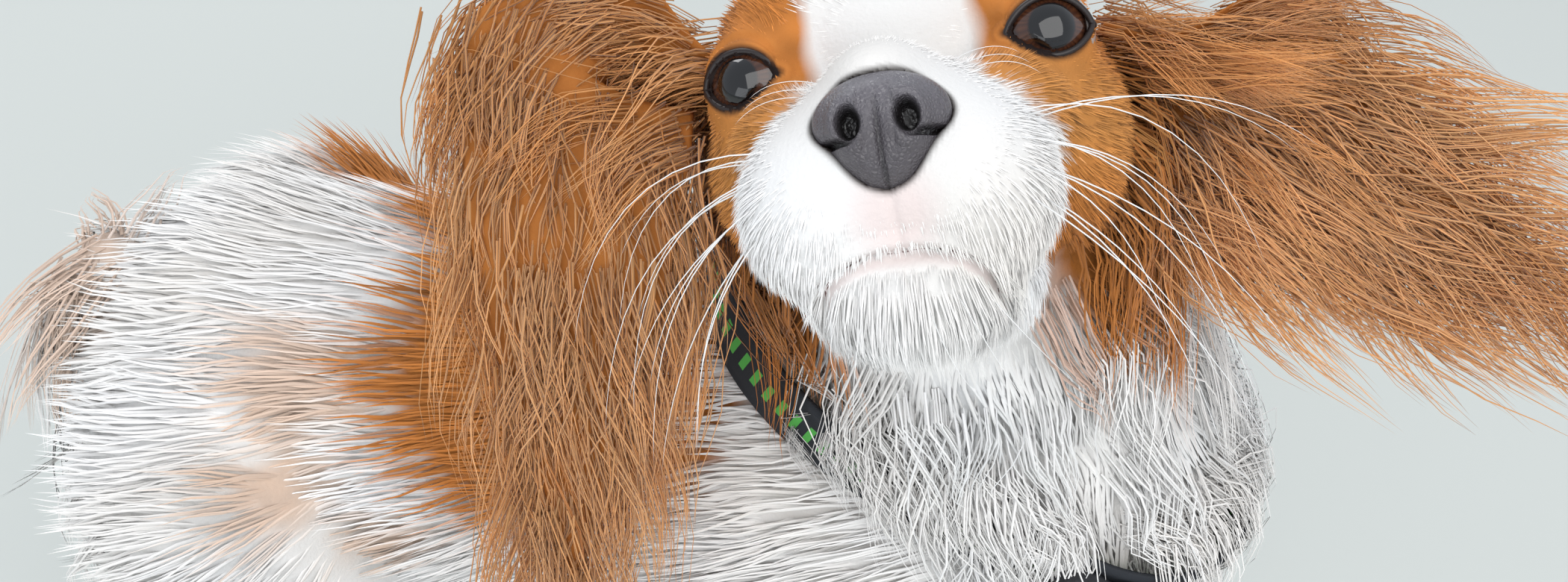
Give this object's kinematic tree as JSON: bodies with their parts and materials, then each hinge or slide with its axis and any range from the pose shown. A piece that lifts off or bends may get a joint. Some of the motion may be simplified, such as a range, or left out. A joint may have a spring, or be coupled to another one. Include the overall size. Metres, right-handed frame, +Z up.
{
  "type": "cavalier king charles spaniel",
  "caption": "Life-size cavalier king charles spaniel, white with chestnut patches, standing and looking up, ears feathered and one blown out, plain collar.",
  "frame": {"origin": "middle of the whole box at floor height", "axes": "+Z up; the body faces -Y and the dog's left side is +X"},
  "size_m": [0.1909, 0.4704, 0.4226],
  "materials": {
    "coat_white": "soft long dog coat, white",
    "coat_chestnut": "soft long dog coat, chestnut",
    "eye": "wet dark brown eye",
    "nose_leather": "moist pebbled dark nose",
    "webbing": "woven charcoal webbing with green marks",
    "clasp": "moulded dark plastic"
  },
  "bodies": {
    "root": {"torso": "coat_white", "neck": "coat_white", "head": "coat_chestnut", "tail": "coat_white", "leg_front_right": "coat_white", "leg_front_left": "coat_white", "leg_hind_right": "coat_white", "leg_hind_left": "coat_white", "ear_right": "coat_chestnut", "ear_left": "coat_chestnut", "eye_right": "eye", "eye_left": "eye", "nose": "nose_leather", "collar": "webbing", "collar_clasp": "clasp"}
  },
  "joints": []
}
